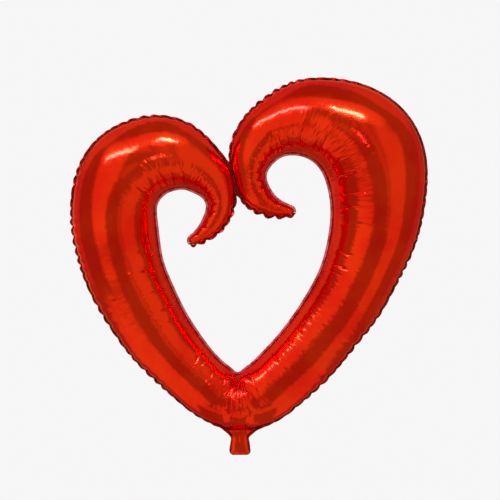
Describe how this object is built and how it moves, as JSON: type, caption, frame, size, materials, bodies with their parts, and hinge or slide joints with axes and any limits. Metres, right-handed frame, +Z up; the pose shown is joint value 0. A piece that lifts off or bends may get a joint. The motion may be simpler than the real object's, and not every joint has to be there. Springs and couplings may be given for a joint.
{
  "type": "hook heart foil balloon",
  "caption": "Open heart-shaped foil balloon: one gas-filled tube with two inward-curled ends, sealed edges and a filling tail with a flat self-sealing valve.",
  "frame": {"origin": "middle of the neck, where the filling tail meets the heart and the ribbon is tied", "axes": "+Z up from the neck to the lobes, +X to the right seen from the front, the front film faces -Y"},
  "size_m": [0.8398, 0.227, 0.887],
  "materials": {
    "foil": "mirror-bright red metallised film, finely creased",
    "foil_seal": "darker, ruffled heat-sealed double film",
    "valve_film": "hazy clear film",
    "release_print": "flat printed patch"
  },
  "bodies": {
    "heart": {"front_panel": "foil", "rear_panel": "foil", "hole_seal": "foil_seal", "curl_weld": "foil_seal", "curl_seal_left": "foil_seal", "outer_seal_left": "foil_seal", "curl_seal_right": "foil_seal", "outer_seal_right": "foil_seal", "valve_front_ply": "valve_film", "valve_rear_ply": "valve_film", "valve_release_strip": "release_print"},
    "tail": {"tail_front_film": "foil", "tail_rear_film": "foil", "tail_seal_left": "foil_seal", "tail_seal_right": "foil_seal", "valve_inlet_front": "valve_film", "valve_inlet_rear": "valve_film"}
  },
  "joints": [
    {"name": "tail_fold", "type": "hinge", "parent": "heart", "child": "tail", "pos_m": [0, 0, 0], "axis": [1, 0, 0], "range_deg": [-90, 90]}
  ]
}
